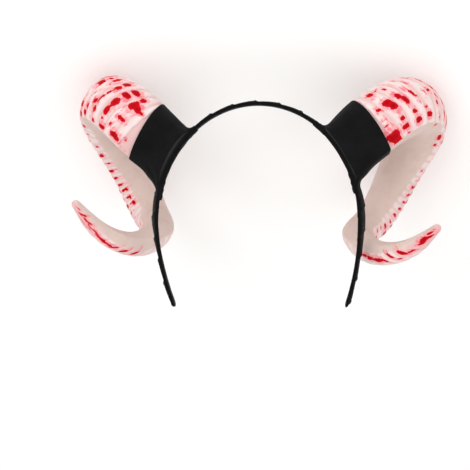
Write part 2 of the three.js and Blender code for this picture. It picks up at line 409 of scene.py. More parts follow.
def make_piece(
    name: str, points: Array, faces: list[tuple[int, ...]], values: dict[str, Array]
) -> bpy.types.Object:
    """Makes a smooth closed piece from worn points.

    Args:
        name: the piece's name.
        points: its points as worn, in millimetres.
        faces: its faces as rows of point numbers.
        values: numbers stored at its points for its finish, by name.

    Returns:
        The new object, at its place at rest.
    """
    mesh = bpy.data.meshes.new(name)
    mesh.from_pydata([tuple(p) for p in REST.place(points)], [], faces)
    for key, numbers in values.items():
        mesh.attributes.new(key, "FLOAT", "POINT").data.foreach_set("value", np.asarray(numbers, np.float32))
    shell = bmesh.new()
    shell.from_mesh(mesh)
    bmesh.ops.recalc_face_normals(shell, faces=shell.faces)
    shell.to_mesh(mesh)
    shell.free()
    mesh.polygons.foreach_set("use_smooth", [True] * len(mesh.polygons))
    piece = bpy.data.objects.new(name, mesh)
    bpy.context.scene.collection.objects.link(piece)
    return piece


def grid_faces(rows: int, columns: int) -> list[tuple[int, ...]]:
    """Joins the points of a tube into faces, with a many-sided face at each end.

    Args:
        rows: how many rings of points it has.
        columns: how many points a ring has.

    Returns:
        The faces as rows of point numbers.
    """
    i, j = np.meshgrid(np.arange(rows - 1), np.arange(columns), indexing="ij")
    a = i * columns + j
    b = i * columns + (j + 1) % columns
    quads = np.stack([a, b, b + columns, a + columns], -1).reshape(-1, 4)
    ends = [tuple(range(columns))[::-1], tuple(range((rows - 1) * columns, rows * columns))]
    return [tuple(q) for q in quads.tolist()] + ends


def smooth_curve(controls: Array, where: Array) -> Array:
    """Reads a uniform cubic B-spline with phantom end points.

    Args:
        controls: its control points, one a row.
        where: parameters from 0 to 1.

    Returns:
        One row for each parameter.
    """
    last = len(controls) - 1
    row = np.vstack([2 * controls[0] - controls[1], controls, 2 * controls[-1] - controls[-2]])
    i = np.minimum(np.floor(where * last).astype(int), last - 1)
    w = where * last - i
    shares = [
        (1 - w) ** 3 / 6,
        (3 * w**3 - 6 * w**2 + 4) / 6,
        (-3 * w**3 + 3 * w**2 + 3 * w + 1) / 6,
        w**3 / 6,
    ]
    return sum(share[..., None] * row[i + k] for k, share in enumerate(shares))


@dataclass
class Hoop:
    """The stiff hoop and the ribbon wound round it. Sizes in millimetres."""

    half_width: float = 75.0
    crown_rise: float = 86.0
    leg_drop: float = 64.0
    leg_ellipse: float = 126.0
    width: float = 9.0
    thickness: float = 3.2
    tip_length: float = 5.0
    pitch: float = 17.5
    lap: float = 0.8
    temple_roll: float = 25.0
    temple_height: float = 8.0
    temple_span: float = 30.0
    temple_swell: float = 1.0
    left_lean: float = 3.4
    lap_rise: float = 0.035
    lap_edge: float = 0.3
    pleat: float = 0.06
    corner_power: float = 0.62
    mean_radius: float = 82.0
    step: float = 0.5
    facets: int = 40

    @property
    def middle_half(self) -> float:
        """Returns half the width of the band's middle line."""
        return self.half_width + self.thickness / 2

    @property
    def middle_rise(self) -> float:
        """Returns the height of the band's middle line over its widest point."""
        return self.crown_rise + self.thickness / 2

    def point(self, angle: Array, offset: float = 0.0) -> tuple[Array, Array]:
        """Finds the middle line of the band.

        Args:
            angle: degrees round the hoop from the crown, negative on the left.
            offset: how far outside the middle line.

        Returns:
            The points and the outward normals.
        """
        half = self.middle_half
        rise = np.where(np.abs(angle) <= 90, self.crown_rise, self.leg_ellipse) + self.thickness / 2
        a = np.radians(angle)
        zero = np.zeros_like(a)
        normal = unit(np.stack([np.sin(a) / half, zero, np.cos(a) / rise], -1))
        return np.stack([half * np.sin(a), zero, rise * np.cos(a)], -1) + normal * offset, normal

    def at_temple(self, height: Array) -> Array:
        """Returns 1 at the height of the temples, falling softly to 0 away from them."""
        return np.exp(-(((height - self.temple_height) / self.temple_span) ** 2))

    def section(self, outward: Array, height: Array) -> tuple[Array, Array]:
        """Turns the band's section by its roll.

        Args:
            outward: the outward normals of the middle line.
            height: the heights of its points.

        Returns:
            The directions out of the band's face and across its width.
        """
        roll = self.roll(height)[..., None]
        across = np.array([0.0, -1.0, 0.0])
        return outward * np.cos(roll) + across * np.sin(roll), across * np.cos(roll) - outward * np.sin(roll)

    def roll(self, height: Array) -> Array:
        """Returns how far the band's outer face rolls forwards at a height, in radians."""
        return math.radians(self.temple_roll) * self.at_temple(height)

    def swell(self, height: Array) -> Array:
        """Returns how far the band stands outside its plain line at a height."""
        return self.temple_swell * self.at_temple(height)

    def above(self, points: Array, offset: float) -> Array:
        """Measures points against the crown's middle line.

        Args:
            points: the points, as worn.
            offset: how far the line is moved outwards first.

        Returns:
            How far outside the line they lie.
        """
        half = self.middle_half + offset
        rise = self.middle_rise + offset
        x, z = points[..., 0], points[..., 2]
        reach = np.sqrt((x / half) ** 2 + (z / rise) ** 2) + 1e-9
        slope = np.sqrt((x / half**2) ** 2 + (z / rise**2) ** 2) / reach + 1e-9
        return (reach - 1) / slope

    def build(self, material: bpy.types.Material) -> bpy.types.Object:
        """Makes the wound hoop, each turn of ribbon stepping over the one before it.

        Args:
            material: the ribbon's finish, which reads the turn of the winding stored at the hoop's points.

        Returns:
            The new piece.
        """
        tip = 90 + math.degrees(math.asin(self.leg_drop / self.leg_ellipse))
        angle = np.linspace(tip, -tip, 4001)
        line, _ = self.point(angle)
        run = np.concatenate([[0], np.cumsum(np.linalg.norm(np.diff(line, axis=0), axis=1))])
        count = int(run[-1] / self.step)
        along = np.linspace(0, run[-1], count + 1)
        middle, normal = self.point(np.interp(along, run, angle))
        outward, forward = self.section(normal, middle[:, 2])
        middle = middle + normal * self.swell(middle[:, 2])[:, None]
        low = np.clip((-3.0 - middle[:, 2]) / self.leg_drop, 0, 1) * (middle[:, 0] < 0)
        middle = middle + np.stack([self.left_lean * low, 0 * low, 0 * low], -1)
        a = 2 * np.pi * np.arange(self.facets) / self.facets
        turn = along[:, None] / self.pitch - a[None, :] / (2 * np.pi)
        share = turn - np.floor(turn)
        lap = self.lap * (1 - share) * smooth(share, 0.0, self.lap_rise)
        lap += self.lap_edge * np.exp(-(((share - self.lap_rise) / 0.025) ** 2))
        lap += self.pleat * np.sin(turn * 21.0 + 3.0 * np.sin(along[:, None] * 0.21)) * (1 - share)
        c, s = np.cos(a)[None, :], np.sin(a)[None, :]
        to_tip = np.maximum(self.tip_length - np.minimum(along, run[-1] - along), 0)[:, None]
        taper = np.sqrt(np.maximum(1 - (to_tip / (1.04 * self.tip_length)) ** 2, 0))
        half_wide = (self.width / 2 + lap * np.abs(c)) * taper
        half_thick = (self.thickness / 2 + lap * np.maximum(s, 0)) * taper
        wide = np.sign(c) * np.abs(c) ** self.corner_power * half_wide
        thick = np.sign(s) * np.abs(s) ** self.corner_power * half_thick
        points = middle[:, None] + forward[:, None] * wide[..., None] + outward[:, None] * thick[..., None]
        values = {"turn": turn.ravel(), "along": np.repeat(along, self.facets)}
        piece = make_piece("wound_hoop", points.reshape(-1, 3), grid_faces(count + 1, self.facets), values)
        piece.data.materials.append(material)
        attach(piece, "root")
        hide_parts("headband")
        return piece


class Side(Enum):
    """Which horn, as the wearer's face is seen from in front."""

    LEFT = "left"
    RIGHT = "right"

    @property
    def mirror(self) -> Array:
        """Returns what takes a point on the right to this side, and back, by multiplying it."""
        return np.array([-1.0 if self is Side.LEFT else 1.0, 1.0, 1.0])


@dataclass(frozen=True)
class HornSet:
    """How one horn sits on the hoop, and how the rim of its sleeve slants.

    seat is in degrees round the hoop, droop, nod and swing are turns of the seat in degrees, and tip_out
    and tip_up bend the tip. root_rise moves the root towards the crown in millimetres. rim_tilt and rim_slant
    turn the sleeve's rim in degrees, and rim_shift moves it along the horn in millimetres. plain_back,
    plain_front and drag_from are degrees round the horn: how far the paint wraps over its back edge, and where
    the plain side ends and the dragged paint begins at the tip. seed starts the random marks of the back.
    """

    seat: float
    droop: float
    nod: float
    swing: float
    tip_out: float
    tip_up: float
    root_rise: float
    rim_tilt: float
    rim_slant: float
    rim_shift: float
    plain_back: float
    plain_front: float
    drag_from: float
    seed: int


@dataclass(frozen=True)
class Stroke:
    """One mark of red paint: its place, half its width along the horn and half its reach round it.

    along and width are in millimetres, around and reach in degrees. lean is how far it slants across its
    ring, and load how thickly the brush was loaded, from 0 to 1.
    """

    along: float
    around: float
    width: float
    reach: float
    lean: float = 0.0
    load: float = 1.0


HORN_SETS: dict[Side, HornSet] = {
    Side.LEFT: HornSet(
        seat=58.3,
        droop=-5.9,
        nod=7.5,
        swing=-3.7,
        tip_out=0.0,
        tip_up=0.081,
        root_rise=3.2,
        rim_tilt=8.6,
        rim_slant=14.0,
        rim_shift=-3.2,
        plain_back=44.0,
        plain_front=45.0,
        drag_from=50.0,
        seed=7,
    ),
    Side.RIGHT: HornSet(
        seat=54.9,
        droop=0.8,
        nod=1.3,
        swing=-3.5,
        tip_out=0.066,
        tip_up=-0.081,
        root_rise=0.0,
        rim_tilt=-5.7,
        rim_slant=10.0,
        rim_shift=-2.3,
        plain_back=26.0,
        plain_front=27.0,
        drag_from=32.0,
        seed=23,
    ),
}

FRONT_STROKES: dict[Side, tuple[tuple[float, ...], ...]] = {
    Side.LEFT: (
        # The rings over the root.
        (39.1, 98.5, 1.6, 5.5), (40.4, 116.5, 1.7, 9.5), (37.6, 116.0, 1.8, 5.5), (34.6, 116.0, 1.6, 2.4),
        (40.7, 143.5, 2.3, 3.6, 0.0, 0.8), (41.9, 151.0, 0.8, 5.0, 0.0, 0.5),
        (31.3, 162.0, 1.2, 2.5, 0.0, 0.6), (39.0, 169.5, 2.3, 4.8), (45.8, 98.0, 2.7, 6.0),
        (47.8, 113.4, 2.8, 5.4), (49.6, 132.0, 2.1, 7.5), (51.5, 150.5, 1.9, 6.6, 0.0, 0.95),
        (51.7, 163.0, 2.0, 4.0, 0.0, 0.45), (50.5, 175.0, 2.4, 4.2, 0.0, 0.95), (53.4, 98.0, 1.9, 6.3),
        (54.8, 84.0, 0.7, 7.0, 0.0, 0.6), (54.5, 113.4, 1.5, 5.8, 0.0, 0.95),
        (44.6, 128.0, 0.7, 6.0, 0.1, 0.7), (50.5, 141.0, 1.3, 4.0, 0.2, 0.8),
        (56.6, 128.0, 0.9, 7.0, 0.1, 0.85), (62.4, 150.0, 1.2, 7.0, 0.2, 0.8),
        (61.5, 88.0, 0.9, 7.0, 0.0, 0.7), (67.0, 98.0, 1.2, 9.0, 0.1, 0.85),
        (73.5, 104.0, 1.5, 8.0, 0.1, 0.95), (72.5, 122.0, 1.3, 7.0, 0.1, 0.95),
        (79.5, 112.0, 1.6, 9.0, 0.1, 0.9), (79.0, 134.0, 1.2, 8.0, 0.1, 0.9),
        (70.5, 172.0, 1.4, 5.0, 0.1, 0.85), (45.0, 160.5, 1.2, 4.0, 0.1, 0.8),
        (58.7, 140.4, 0.9, 14.0, 0.19, 0.9), (60.5, 160.0, 1.8, 6.2, 0.0, 0.85),
        (59.5, 176.4, 1.9, 4.0, 0.0, 0.8), (59.8, 102.6, 1.5, 7.6, 0.0, 0.85),
        (60.4, 117.0, 1.3, 4.6, 0.0, 0.5), (65.0, 140.4, 0.8, 11.0, 0.55, 0.7),
        (68.0, 162.0, 2.0, 5.0, 0.0, 0.9), (67.5, 119.4, 2.5, 7.0, 0.0, 0.75),
        (64.8, 103.5, 1.8, 5.6, 0.0, 0.5), (69.0, 132.0, 3.0, 2.6, 0.0, 0.4),
        (74.0, 147.0, 2.2, 3.4, 0.0, 0.6), (77.5, 159.0, 3.6, 5.0, 0.0, 0.85),
        (80.7, 174.0, 3.2, 6.0, 0.0, 0.9), (47.0, 81.6, 1.1, 4.2, 0.0, 0.6),
        (40.0, 87.0, 1.2, 3.8, 0.0, 0.35), (31.5, 177.5, 4.0, 1.2, 0.0, 0.7),
        # The edge down to the lowest bend.
        (93.0, 204.0, 2.6, 6.0, 0.0, 0.7), (104.0, 205.0, 1.6, 5.0, 0.0, 0.6),
        (116.5, 214.0, 1.3, 6.0, 0.0, 0.8), (126.0, 206.0, 1.8, 11.0, 0.0, 0.9),
        (134.0, 212.0, 1.2, 12.0, 0.0, 0.8), (142.3, 202.0, 1.5, 14.0, 0.0, 0.9),
        (150.4, 199.0, 1.5, 14.0, 0.0, 0.9), (158.3, 202.0, 1.4, 14.0, 0.0, 0.9),
        (164.9, 205.0, 1.4, 15.0, 0.0, 0.95), (164.7, 217.0, 2.2, 4.0), (173.5, 206.0, 1.3, 12.0, 0.0, 0.85),
        (173.7, 214.0, 2.4, 4.5), (181.3, 216.0, 2.8, 7.0), (181.0, 202.0, 1.2, 10.0, 0.0, 0.8),
        (189.0, 195.0, 1.3, 10.0, 0.0, 0.5),
        # The tip.
        (258.0, 60.0, 1.3, 14.0), (266.1, 65.5, 1.4, 13.0), (273.3, 67.5, 1.1, 15.0), (283.0, 74.0, 7.5, 8.5),
        (293.0, 70.0, 3.5, 6.0, 0.0, 0.9), (299.0, 76.0, 4.0, 5.0, 0.0, 0.85),
        (305.5, 72.0, 3.5, 8.0, 0.0, 0.9), (310.5, 80.0, 2.2, 9.0, 0.0, 0.85),
        (315.5, 68.0, 2.0, 9.0, 0.0, 0.8), (301.0, 64.0, 2.2, 12.0, 0.3, 0.8),
        (308.5, 62.0, 1.6, 16.0, -0.3, 0.85), (296.0, 90.0, 4.5, 7.0, 0.0, 0.6),
        (304.0, 102.0, 5.0, 8.0, 0.0, 0.65),
    ),
    Side.RIGHT: (
        # The rings over the root.
        (37.8, 94.5, 1.7, 6.0), (41.5, 91.0, 2.4, 1.6, 0.0, 0.8), (32.6, 104.0, 1.0, 1.5, 0.0, 0.5),
        (35.4, 126.0, 1.3, 3.4, 0.0, 0.9), (41.6, 125.5, 2.2, 5.0), (43.8, 134.5, 2.2, 6.5),
        (45.7, 103.5, 0.9, 5.0, 0.0, 0.85), (48.8, 127.0, 1.6, 5.5), (51.6, 137.0, 1.7, 7.0),
        (51.0, 105.0, 0.8, 12.0, 0.0, 0.6), (54.2, 94.5, 1.1, 4.0, 0.0, 0.7),
        (56.6, 132.0, 1.4, 9.5, 0.15, 0.75), (58.4, 110.0, 1.0, 9.0, 0.0, 0.45),
        (68.0, 131.0, 1.7, 4.0, 0.0, 0.6), (73.5, 139.5, 2.3, 2.6, 0.0, 0.85),
        (64.0, 135.0, 1.6, 5.0, 0.0, 0.4), (61.0, 98.0, 0.9, 7.0, 0.1, 0.85),
        (67.5, 108.0, 1.0, 9.0, 0.1, 0.8), (75.0, 100.0, 1.2, 8.0, 0.1, 0.9),
        (74.5, 120.0, 1.1, 6.0, 0.1, 0.8), (71.5, 152.0, 1.3, 4.0, 0.1, 0.85),
        (79.5, 146.0, 1.4, 6.0, 0.1, 0.85), (81.0, 164.0, 1.6, 6.0, 0.1, 0.9),
        (34.0, 151.0, 1.5, 1.8, 0.0, 0.8), (35.3, 142.0, 1.2, 3.0, 0.0, 0.6),
        (44.8, 156.0, 1.8, 3.4, 0.0, 0.85), (53.8, 156.6, 1.9, 3.2, 0.0, 0.95),
        (62.0, 157.0, 1.4, 2.2, 0.0, 0.8), (31.5, 166.5, 2.2, 3.2), (35.0, 170.0, 2.4, 8.0),
        (36.0, 182.0, 1.8, 7.0), (45.0, 168.0, 2.2, 3.6), (54.7, 170.0, 2.4, 4.2),
        (63.8, 168.0, 1.9, 3.8, 0.0, 0.9), (74.0, 172.0, 1.6, 5.0, 0.0, 0.5),
        (45.5, 181.0, 1.6, 3.5, 0.0, 0.7), (73.5, 202.0, 2.0, 5.0, 0.0, 0.6),
        # The edge down to the lowest bend.
        (96.5, 209.0, 3.4, 7.0, 0.0, 0.9), (104.5, 216.0, 1.8, 6.0, 0.0, 0.7),
        (131.5, 200.0, 1.4, 6.0, 0.0, 0.6), (141.5, 196.0, 1.1, 5.0, 0.0, 0.6),
        (148.8, 188.0, 1.4, 9.0, 0.0, 0.9), (158.0, 178.0, 1.6, 10.0, 0.0, 0.8),
        (165.8, 175.0, 1.5, 10.0, 0.0, 0.75), (173.0, 173.0, 1.5, 10.0, 0.0, 0.75),
        (181.0, 171.0, 1.4, 10.0, 0.0, 0.65), (189.0, 168.0, 1.3, 9.0, 0.0, 0.55),
        # The tip.
        (254.5, 37.0, 2.4, 6.0), (259.0, 46.0, 2.8, 9.0, 0.0, 0.95), (264.5, 53.0, 2.8, 11.0, 0.0, 0.9),
        (269.5, 58.0, 2.2, 11.0, 0.0, 0.9), (274.9, 42.0, 1.4, 14.0, 0.3), (284.6, 46.0, 1.9, 18.0, 0.2),
        (281.5, 69.0, 2.0, 6.0, 0.0, 0.8), (296.0, 50.0, 4.0, 5.0, 0.0, 0.45), (306.5, 50.0, 2.4, 14.0, 0.2),
        (310.5, 72.0, 2.4, 18.0, 0.2), (306.0, 58.0, 3.4, 16.0, 0.1), (312.5, 48.0, 2.4, 16.0, 0.1, 0.9),
        (303.0, 66.0, 2.6, 12.0, 0.3), (292.0, 64.0, 3.4, 9.0, 0.2, 0.8), (317.0, 50.0, 1.4, 20.0, 0.0, 0.5),
    ),
}


@dataclass
class Horn:
    """One ram's horn of moulded foam. Sizes are in millimetres.

    back_along is a zone along the horn in millimetres, and keel_round, hair_round and far_hair_round are zones
    round it in degrees.

    A row of controls holds the middle line's place outwards, backwards and upwards and the section's width
    and depth, all as shares of the sizes, the section's turn in degrees, and how far the tip's bend acts on it.
    """

    side: Side
    hoop: Hoop
    reach: float = 73.0
    depth: float = 76.0
    height: float = 103.0
    thickness: float = 45.0
    inner_share: float = 0.3
    root_inset: float = 2.0
    root_clear: float = 2.7
    curl_back: float = 0.3
    curl_up: float = -0.2
    ring_height: float = 1.5
    ring_pitch: float = 7.0
    first_ring: float = 31.0
    plain_tip: float = 22.0
    tip_round: float = 2.8
    tip_slim: float = 0.2
    root_tilt: float = 7.0
    tip_tilt: float = 5.0
    crest_share: float = 0.35
    tail_length: float = 2.1
    mark_power: float = 2.6
    mark_fade: float = 0.17
    inner_power: float = 2.4
    seen_root: float = 84.0
    seen_tip: float = 246.0
    bare_share: float = 0.2
    back_along: Zone = (78.0, 96.0, 190.0, 215.0)
    keel_round: Zone = (150.0, 178.0, 186.0, 214.0)
    hair_round: Zone = (70.0, 100.0, 178.0, 186.0)
    far_hair_round: Zone = (150.0, 168.0, 196.0, 214.0)
    smoothing: int = 5
    step: float = 0.62
    facets: int = 132
    controls: Array = field(
        default_factory=lambda: np.array(
            [
                [0.0, 0.0, 0.0, 0.953, 0.959, -1, 0.0],
                [0.296, -0.019, 0.211, 1.082, 1.05, 2, 0.0],
                [0.67, 0.21, 0.387, 1.093, 1.024, 2, 0.0],
                [0.803, 0.649, 0.281, 1.006, 0.832, 15, 0.0],
                [0.639, 0.857, 0.019, 0.789, 0.747, 17, 0.0],
                [0.474, 1.046, -0.234, 0.699, 0.673, 21, 0.0],
                [0.261, 0.949, -0.547, 0.638, 0.622, 17, 0.0],
                [0.061, 0.532, -0.594, 0.528, 0.528, 4, 0.0],
                [0.313, 0.163, -0.726, 0.411, 0.412, -6, 0.3],
                [0.7, -0.023, -0.649, 0.335, 0.316, 0, 0.65],
                [0.956, -0.224, -0.437, 0.167, 0.174, 0, 1.0],
            ]
        )
    )

    def __post_init__(self) -> None:
        """Works out the middle line, its length and its seat on the hoop."""
        how = HORN_SETS[self.side]
        table = self.controls
        self.line = np.stack(
            [
                (table[:, 0] + table[:, 6] * how.tip_out) * self.reach,
                table[:, 1] * self.depth,
                (table[:, 2] + table[:, 6] * how.tip_up) * self.height,
            ],
            1,
        )
        self.parameter = np.linspace(0, 1, 4001)
        points = smooth_curve(self.line, self.parameter)
        self.run = np.concatenate([[0], np.cumsum(np.linalg.norm(np.diff(points, axis=0), axis=1))])
        self.length = float(self.run[-1])
        outer = self.hoop.thickness / 2 - self.root_inset
        point, _ = self.hoop.point(np.array([how.seat]), outer)
        self.seat = point[0]
        turn = (
            Matrix.Rotation(math.radians(how.droop), 3, "Y")
            @ Matrix.Rotation(math.radians(how.nod), 3, "X")
            @ Matrix.Rotation(math.radians(how.swing), 3, "Z")
        )
        self.turn = np.array(turn)

    def worn(self, points: Array) -> Array:
        """Takes points from the horn's own frame to the worn position."""
        return (points @ self.turn.T + self.seat) * self.side.mirror

    def frames(self, along: Array) -> dict[str, Array]:
        """Finds the sections of the horn, which run straight on before the start of its middle line.

        Args:
            along: distances along the middle line.

        Returns:
            Rows for middle, tangent, side and inner, and the sizes half, outer and inside of each section.
        """
        inside = np.clip(along, 0, self.length)
        where = np.interp(inside, self.run, self.parameter)
        point = smooth_curve(self.line, where)
        nudge = 1e-4
        ahead = smooth_curve(self.line, np.minimum(where + nudge, 1))
        behind = smooth_curve(self.line, np.maximum(where - nudge, 0))
        tangent = unit(ahead - behind)
        sizes = smooth_curve(self.controls[:, 3:6], where)
        centre = np.array([0.0, self.curl_back * self.depth, self.curl_up * self.height])
        to_centre = (centre - point) * np.array([0.0, 1.0, 1.0])
        to_centre = unit(to_centre - tangent * (to_centre * tangent).sum(1, keepdims=True))
        turn = np.radians(sizes[:, 2])[:, None]
        inner = to_centre * np.cos(turn) + np.cross(tangent, to_centre) * np.sin(turn)
        deep = sizes[:, 1] * self.thickness
        outer = deep * (1 - self.inner_share)
        hollow = deep * self.inner_share
        middle = point + inner * ((outer - hollow) / 2)[:, None] + tangent * (along - inside)[:, None]
        side = np.cross(tangent, inner)
        rise = HORN_SETS[self.side].root_rise * (1 - smooth(along, 4, 36))
        return {
            "middle": middle + side * rise[:, None],
            "tangent": tangent,
            "side": side,
            "inner": inner,
            "half": sizes[:, 0] * self.thickness / 2,
            "outer": outer,
            "inside": hollow,
        }

    def tilt(self, along: Array) -> Array:
        """Returns how far the rings slant back on one side and forward on the other."""
        return self.root_tilt * smooth(along, 26, 46) + self.tip_tilt * smooth(along, 205, 270)

    def ring_place(self, along: Array, around: Array) -> Array:
        """Returns the distance along the horn of the ring that passes through a point, around in degrees."""
        return along + self.tilt(along) * np.cos(np.radians(around))

    def ring_rows(self) -> Array:
        """Returns where the crests are, a little closer together at the root and past the lowest bend."""
        rows = [self.first_ring]
        while rows[-1] < self.length - self.plain_tip:
            last = np.array(rows[-1])
            pitch = self.ring_pitch + 0.7 * float(smooth(last, 56, 72)) - 0.33 * float(smooth(last, 178, 190))
            rows.append(rows[-1] + pitch)
        return np.array(rows)

    def rings(self, place: Array) -> Array:
        """Works out the relief of the rings.

        Args:
            place: distances along the horn, as ring_place gives them.

        Returns:
            Their height, from 0 in a groove to 1 on a crest.
        """
        rows = self.ring_rows()
        number = np.interp(place, rows, np.arange(len(rows)), left=-0.5, right=len(rows) - 0.5)
        off = np.abs(number - np.round(number)) * 2
        fade = smooth(place, rows[0] - 4, rows[0] - 1) * (1 - smooth(place, rows[-1] - 12, rows[-1] + 3))
        return (1 - off**3.2) * fade

    def surface(self, along: Array, around: Array, grow: float = 0.0) -> Array:
        """Returns the points of the horn's own surface before its rings are raised, in its own frame.

        Args:
            along: distances along the middle line.
            around: degrees round the section, from 0 to 180 on the round side and on to 360 inside the curl.
            grow: how far outside the surface.

        Returns:
            One row of points for each distance.
        """
        f = self.frames(along)
        c, s = np.cos(np.radians(around))[None, :], np.sin(np.radians(around))[None, :]
        x = (f["half"][:, None] + grow) * c
        outer = -(f["outer"][:, None] + grow) * s
        inside = (f["inside"][:, None] + grow) * (1 - np.abs(c) ** self.inner_power)
        y = np.where(s >= 0, outer, inside)
        return f["middle"][:, None] + f["side"][:, None] * x[..., None] + f["inner"][:, None] * y[..., None]

    def strokes(self) -> list[Stroke]:
        """Returns every mark of paint: the front's, and brushed rows over the rest of the round side."""
        marks = [Stroke(*row) for row in FRONT_STROKES[self.side]]
        dice = np.random.default_rng(HORN_SETS[self.side].seed)
        for row in self.ring_rows():
            around = dice.uniform(66, 84) - (30 if 84 < row < 225 else 0)
            while around < 176:
                reach = dice.uniform(4.0, 9.5)
                centre = around + reach
                along = row - float(self.tilt(np.array(row))) * math.cos(math.radians(centre))
                seen = along < self.seen_root - 0.12 * max(0.0, 120 - centre) or along > self.seen_tip
                if not seen and dice.random() > self.bare_share:
                    width = dice.uniform(0.9, 2.2) * (1.0 if row < 200 else 0.8)
                    lean, load = dice.uniform(-0.08, 0.2), dice.uniform(0.55, 1)
                    marks.append(Stroke(along, centre, width, reach, lean, load))
                around = centre + reach + dice.uniform(3.0, 9.0)
        return marks

    def paint(self, along: Array, around: Array, radius: Array, tail: float = 1.0) -> Array:
        """Works out how much red lies at points.

        Args:
            along: their distances along the horn.
            around: their degrees round it.
            radius: the horn's radius there.
            tail: how many times its reach a mark is drawn out round the horn.

        Returns:
            0.5 on the edge of a mark, more inside it and less outside.
        """
        wider = 1 + 0.3 * (tail - 1)
        power = self.mark_power
        place = self.ring_place(along, around)
        best = np.zeros_like(along)
        for mark in self.strokes():
            start = np.array([mark.along])
            centre = float(self.ring_place(start, np.array([mark.around]))[0])
            per_degree = np.radians(radius)
            sideways = (around - mark.around + 180) % 360 - 180
            off = place - centre - mark.lean * sideways * per_degree
            width = mark.width * wider
            reach = np.maximum(mark.reach * tail * per_degree, 0.3)
            shape = (np.abs(off) / width) ** power + (np.abs(sideways) / (mark.reach * tail)) ** power
            shape = shape ** (1 / power)
            outside = (shape - 1) * np.minimum(width, reach)
            best = np.maximum(best, (0.5 - self.mark_fade * outside) * (0.55 + 0.45 * mark.load))
        return np.clip(best, 0, 1)

    def build(self, material: bpy.types.Material) -> bpy.types.Object:
        """Makes the horn from its trimmed root to its rounded tip.

        Args:
            material: its finish, which reads the values stored at the horn's points.

        Returns:
            The new piece.
        """
        start = -self.hoop.thickness
        count = int((self.length - start) / self.step)
        along = np.linspace(start, self.length, count + 1)
        around = 360 * (np.arange(self.facets) + 0.5) / self.facets
        left = self.length - along
        tip = np.sqrt(np.maximum(1 - np.maximum(1 - left / self.tip_round, 0) ** 2, 0.004))
        base = self.surface(along, around)
        for _ in range(self.smoothing):
            base = 0.25 * np.roll(base, 1, axis=1) + 0.5 * base + 0.25 * np.roll(base, -1, axis=1)
        f = self.frames(along)
        middle = f["middle"][:, None]
        tip = tip * (1 - self.tip_slim * (1 - smooth(left, 0, 20)))
        base = middle + (base - middle) * tip[:, None, None]
        grid_along, grid_around = np.meshgrid(along, around, indexing="ij")
        place = self.ring_place(grid_along, grid_around)
        ring = self.rings(place)
        round_side = smooth(np.sin(np.radians(grid_around)), -0.10, 0.22)
        lateral = window(grid_around, self.keel_round) * smooth(grid_along, 84, 110)
        plain = self.plain_side(grid_along, grid_around, ring)
        raised = np.maximum(round_side * (1 - 0.85 * plain), 0.75 * lateral)
        height = self.ring_height * (1 - 0.45 * smooth(grid_along, 60, 280))
        outward = unit(base - middle)
        relief = (ring - self.crest_share) * raised * height * smooth(left, 0, 30)[:, None]
        points = base + outward * relief[..., None]
        points = self.worn(points)
        short = self.hoop.thickness / 2 + self.root_clear - self.hoop.above(points, 0.0)
        push = np.maximum(short, 0) * smooth(-grid_along, -16, -10)
        away = unit(points * np.array([1 / self.hoop.middle_half**2, 0.0, 1 / self.hoop.middle_rise**2]))
        points = points + away * push[..., None]
        radius = 0.5 * (f["half"] + f["outer"])[:, None] * np.ones_like(grid_around)
        flat = {
            "paint": self.paint(grid_along, grid_around, radius),
            "blush": self.paint(grid_along, grid_around, radius, self.tail_length),
            "plain": plain,
            "ring": ring,
            "brush": self.brushed(grid_along, grid_around),
            "drag": self.dragged(grid_along, grid_around),
            "along": place,
            "around": grid_around * np.radians(radius),
        }
        values = {key: numbers.ravel() for key, numbers in flat.items()}
        piece = make_piece(
            f"horn_{self.side.value}_foam", points.reshape(-1, 3), grid_faces(count + 1, self.facets), values
        )
        piece.data.materials.append(material)
        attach(piece, "root")
        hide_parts(f"horn_{self.side.value}")
        return piece

    def plain_side(self, along: Array, around: Array, ring: Array) -> Array:
        """Finds the plain side inside the curl. The crests of the rings reach a little way over its edge.

        Args:
            along: distances along the horn.
            around: degrees round it.
            ring: the height of its rings, from 0 to 1.

        Returns:
            1 on the plain side and 0 on the painted side.
        """
        how = HORN_SETS[self.side]
        wrap = how.plain_back * window(along, self.back_along) + 9 * (ring - 0.45)
        medial = 4 + (how.plain_front - 4) * smooth(along, 232, 252)
        above = (around + 90) % 360 - 90
        behind = smooth(around, 179 + wrap, 187 + wrap) * (around < 320)
        return np.maximum(behind, 1 - smooth(above, medial - 6, medial + 4))

    def brushed(self, along: Array, around: Array) -> Array:
        """Finds where thin pink hairs of a dry brush follow the rings.

        Args:
            along: distances along the horn.
            around: degrees round it.

        Returns:
            How strong the hairs are, from 0 to 1.
        """
        far = window(around, self.far_hair_round) * smooth(along, 80, 100)
        strength = smooth(along, 29, 36) * (0.55 + 0.45 * smooth(along, 50, 75))
        return np.maximum(window(around, self.hair_round), far) * strength

    def dragged(self, along: Array, around: Array) -> Array:
        """Returns where the brush was dragged lengthwise over the tip."""
        low = HORN_SETS[self.side].drag_from
        return smooth(along, 268, 284) * window(around, (low - 4, low + 8, 150, 190)) * 0.75


